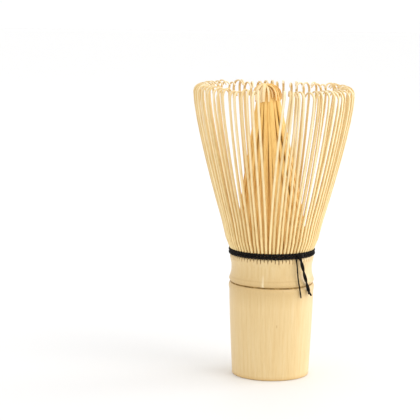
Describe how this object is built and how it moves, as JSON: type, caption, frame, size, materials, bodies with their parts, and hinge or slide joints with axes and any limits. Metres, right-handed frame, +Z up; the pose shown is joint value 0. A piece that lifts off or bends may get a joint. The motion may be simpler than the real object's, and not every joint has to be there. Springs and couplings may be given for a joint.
{
  "type": "bamboo tea whisk",
  "caption": "Bamboo tea whisk: a short culm handle with its node, an outer ring of flaring hooked tines, an inner tine bundle, and a woven thread binding.",
  "frame": {"origin": "middle of the rim that the whisk stands on, at the bottom of the culm", "axes": "+Z up along the culm to the tips; -Y is the front, with the knot of the binding to its right (+X)"},
  "size_m": [0.0598, 0.0598, 0.108],
  "materials": {
    "bamboo_skin": "satin scraped bamboo",
    "node_scar": "matte fibrous",
    "outer_tines": "satin split bamboo",
    "inner_tines": "satin split bamboo",
    "thread": "matte twisted cotton"
  },
  "bodies": {
    "handle": {"handle_culm": "bamboo_skin", "node_diaphragm": "node_scar", "root_collar": "bamboo_skin", "binding_thread_row_1": "thread", "binding_thread_row_2": "thread", "binding_knot": "thread", "thread_tail_1": "thread", "thread_tail_2": "thread", "thread_tail_3": "thread"},
    "outer_comb_01": {"outer_tines_01": "outer_tines"},
    "outer_comb_02": {"outer_tines_02": "outer_tines"},
    "outer_comb_03": {"outer_tines_03": "outer_tines"},
    "outer_comb_04": {"outer_tines_04": "outer_tines"},
    "outer_comb_05": {"outer_tines_05": "outer_tines"},
    "outer_comb_06": {"outer_tines_06": "outer_tines"},
    "outer_comb_07": {"outer_tines_07": "outer_tines"},
    "outer_comb_08": {"outer_tines_08": "outer_tines"},
    "outer_comb_09": {"outer_tines_09": "outer_tines"},
    "outer_comb_10": {"outer_tines_10": "outer_tines"},
    "outer_comb_11": {"outer_tines_11": "outer_tines"},
    "outer_comb_12": {"outer_tines_12": "outer_tines"},
    "inner_comb_01": {"inner_tines_01": "inner_tines"},
    "inner_comb_02": {"inner_tines_02": "inner_tines"},
    "inner_comb_03": {"inner_tines_03": "inner_tines"},
    "inner_comb_04": {"inner_tines_04": "inner_tines"},
    "inner_comb_05": {"inner_tines_05": "inner_tines"},
    "inner_comb_06": {"inner_tines_06": "inner_tines"},
    "inner_comb_07": {"inner_tines_07": "inner_tines"},
    "inner_comb_08": {"inner_tines_08": "inner_tines"},
    "inner_comb_09": {"inner_tines_09": "inner_tines"},
    "inner_comb_10": {"inner_tines_10": "inner_tines"},
    "inner_comb_11": {"inner_tines_11": "inner_tines"},
    "inner_comb_12": {"inner_tines_12": "inner_tines"}
  },
  "joints": [
    {"name": "outer_flex_01", "type": "hinge", "parent": "handle", "child": "outer_comb_01", "pos_m": [0.01401, 0.00375, 0.0465], "axis": [-0.2588, 0.9659, 0], "range_deg": [-2.5, 4], "stiffness_Nm_per_rad": 0.02},
    {"name": "outer_flex_02", "type": "hinge", "parent": "handle", "child": "outer_comb_02", "pos_m": [0.01025, 0.01025, 0.0465], "axis": [-0.7071, 0.7071, 0], "range_deg": [-2.5, 4], "stiffness_Nm_per_rad": 0.02},
    {"name": "outer_flex_03", "type": "hinge", "parent": "handle", "child": "outer_comb_03", "pos_m": [0.00375, 0.01401, 0.0465], "axis": [-0.9659, 0.2588, 0], "range_deg": [-2.5, 4], "stiffness_Nm_per_rad": 0.02},
    {"name": "outer_flex_04", "type": "hinge", "parent": "handle", "child": "outer_comb_04", "pos_m": [-0.00375, 0.01401, 0.0465], "axis": [-0.9659, -0.2588, 0], "range_deg": [-2.5, 4], "stiffness_Nm_per_rad": 0.02},
    {"name": "outer_flex_05", "type": "hinge", "parent": "handle", "child": "outer_comb_05", "pos_m": [-0.01025, 0.01025, 0.0465], "axis": [-0.7071, -0.7071, 0], "range_deg": [-2.5, 4], "stiffness_Nm_per_rad": 0.02},
    {"name": "outer_flex_06", "type": "hinge", "parent": "handle", "child": "outer_comb_06", "pos_m": [-0.01401, 0.00375, 0.0465], "axis": [-0.2588, -0.9659, 0], "range_deg": [-2.5, 4], "stiffness_Nm_per_rad": 0.02},
    {"name": "outer_flex_07", "type": "hinge", "parent": "handle", "child": "outer_comb_07", "pos_m": [-0.01401, -0.00375, 0.0465], "axis": [0.2588, -0.9659, 0], "range_deg": [-2.5, 4], "stiffness_Nm_per_rad": 0.02},
    {"name": "outer_flex_08", "type": "hinge", "parent": "handle", "child": "outer_comb_08", "pos_m": [-0.01025, -0.01025, 0.0465], "axis": [0.7071, -0.7071, 0], "range_deg": [-2.5, 4], "stiffness_Nm_per_rad": 0.02},
    {"name": "outer_flex_09", "type": "hinge", "parent": "handle", "child": "outer_comb_09", "pos_m": [-0.00375, -0.01401, 0.0465], "axis": [0.9659, -0.2588, 0], "range_deg": [-2.5, 4], "stiffness_Nm_per_rad": 0.02},
    {"name": "outer_flex_10", "type": "hinge", "parent": "handle", "child": "outer_comb_10", "pos_m": [0.00375, -0.01401, 0.0465], "axis": [0.9659, 0.2588, 0], "range_deg": [-2.5, 4], "stiffness_Nm_per_rad": 0.02},
    {"name": "outer_flex_11", "type": "hinge", "parent": "handle", "child": "outer_comb_11", "pos_m": [0.01025, -0.01025, 0.0465], "axis": [0.7071, 0.7071, 0], "range_deg": [-2.5, 4], "stiffness_Nm_per_rad": 0.02},
    {"name": "outer_flex_12", "type": "hinge", "parent": "handle", "child": "outer_comb_12", "pos_m": [0.01401, -0.00375, 0.0465], "axis": [0.2588, 0.9659, 0], "range_deg": [-2.5, 4], "stiffness_Nm_per_rad": 0.02},
    {"name": "inner_flex_01", "type": "hinge", "parent": "handle", "child": "inner_comb_01", "pos_m": [0.01227, 0.00329, 0.0465], "axis": [-0.2588, 0.9659, 0], "range_deg": [0, 5], "stiffness_Nm_per_rad": 0.02},
    {"name": "inner_flex_02", "type": "hinge", "parent": "handle", "child": "inner_comb_02", "pos_m": [0.00898, 0.00898, 0.0465], "axis": [-0.7071, 0.7071, 0], "range_deg": [0, 5], "stiffness_Nm_per_rad": 0.02},
    {"name": "inner_flex_03", "type": "hinge", "parent": "handle", "child": "inner_comb_03", "pos_m": [0.00329, 0.01227, 0.0465], "axis": [-0.9659, 0.2588, 0], "range_deg": [0, 5], "stiffness_Nm_per_rad": 0.02},
    {"name": "inner_flex_04", "type": "hinge", "parent": "handle", "child": "inner_comb_04", "pos_m": [-0.00329, 0.01227, 0.0465], "axis": [-0.9659, -0.2588, 0], "range_deg": [0, 5], "stiffness_Nm_per_rad": 0.02},
    {"name": "inner_flex_05", "type": "hinge", "parent": "handle", "child": "inner_comb_05", "pos_m": [-0.00898, 0.00898, 0.0465], "axis": [-0.7071, -0.7071, 0], "range_deg": [0, 5], "stiffness_Nm_per_rad": 0.02},
    {"name": "inner_flex_06", "type": "hinge", "parent": "handle", "child": "inner_comb_06", "pos_m": [-0.01227, 0.00329, 0.0465], "axis": [-0.2588, -0.9659, 0], "range_deg": [0, 5], "stiffness_Nm_per_rad": 0.02},
    {"name": "inner_flex_07", "type": "hinge", "parent": "handle", "child": "inner_comb_07", "pos_m": [-0.01227, -0.00329, 0.0465], "axis": [0.2588, -0.9659, 0], "range_deg": [0, 5], "stiffness_Nm_per_rad": 0.02},
    {"name": "inner_flex_08", "type": "hinge", "parent": "handle", "child": "inner_comb_08", "pos_m": [-0.00898, -0.00898, 0.0465], "axis": [0.7071, -0.7071, 0], "range_deg": [0, 5], "stiffness_Nm_per_rad": 0.02},
    {"name": "inner_flex_09", "type": "hinge", "parent": "handle", "child": "inner_comb_09", "pos_m": [-0.00329, -0.01227, 0.0465], "axis": [0.9659, -0.2588, 0], "range_deg": [0, 5], "stiffness_Nm_per_rad": 0.02},
    {"name": "inner_flex_10", "type": "hinge", "parent": "handle", "child": "inner_comb_10", "pos_m": [0.00329, -0.01227, 0.0465], "axis": [0.9659, 0.2588, 0], "range_deg": [0, 5], "stiffness_Nm_per_rad": 0.02},
    {"name": "inner_flex_11", "type": "hinge", "parent": "handle", "child": "inner_comb_11", "pos_m": [0.00898, -0.00898, 0.0465], "axis": [0.7071, 0.7071, 0], "range_deg": [0, 5], "stiffness_Nm_per_rad": 0.02},
    {"name": "inner_flex_12", "type": "hinge", "parent": "handle", "child": "inner_comb_12", "pos_m": [0.01227, -0.00329, 0.0465], "axis": [0.2588, 0.9659, 0], "range_deg": [0, 5], "stiffness_Nm_per_rad": 0.02}
  ]
}
